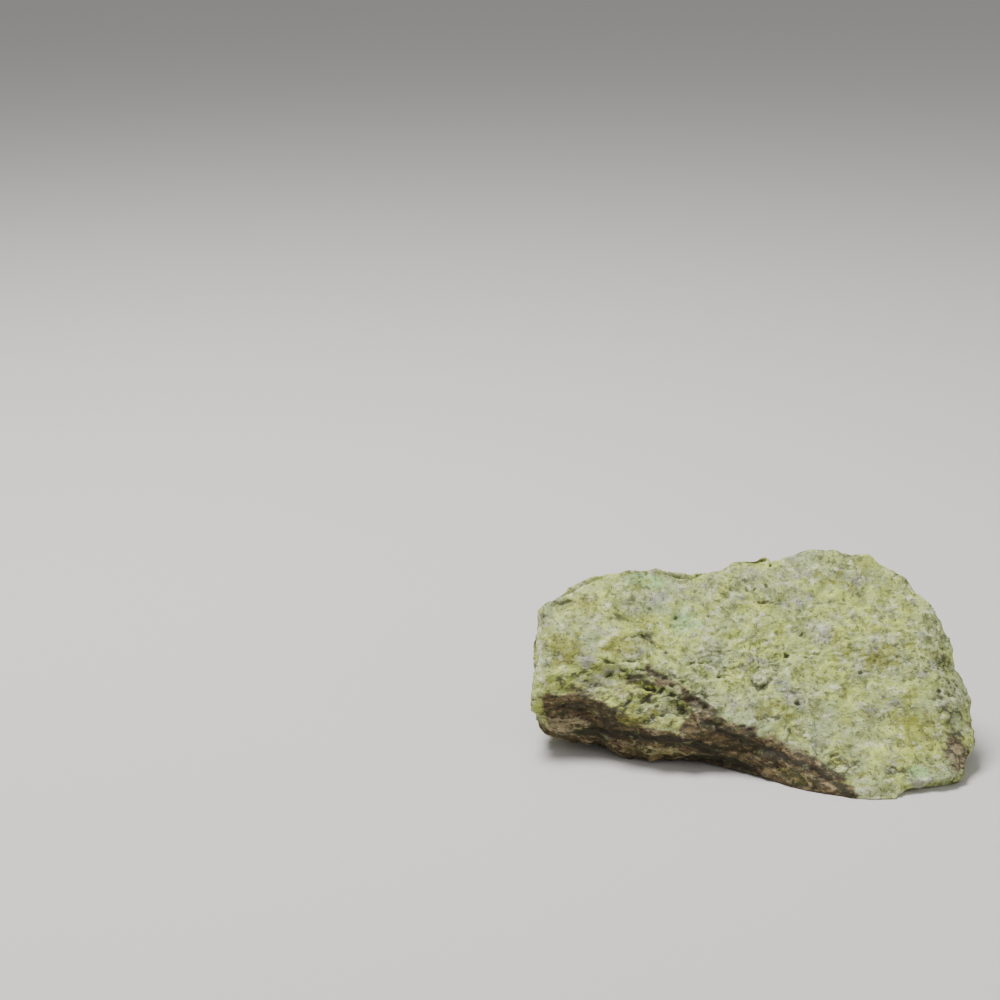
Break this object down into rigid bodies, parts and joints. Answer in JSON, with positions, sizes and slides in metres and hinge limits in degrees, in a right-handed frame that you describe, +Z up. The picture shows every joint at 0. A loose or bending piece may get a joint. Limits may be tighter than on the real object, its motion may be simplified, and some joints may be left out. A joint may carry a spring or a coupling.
{
  "type": "jade stone",
  "caption": "Rough lump of green jade rock with a broad sloping face, broken layered sides and a small flat it rests on.",
  "frame": {"origin": "on the ground under the middle of the stone's length and depth", "axes": "+X along the stone's length, +Z up, -Y the side that the broad sloping face looks to"},
  "size_m": [0.124, 0.0788, 0.0504],
  "materials": {
    "jade": "rough broken rock, pale yellow-green with grey, olive and dark flecks, brown stain along the lower front"
  },
  "bodies": {
    "root": {"jade_stone": "jade"}
  },
  "joints": []
}
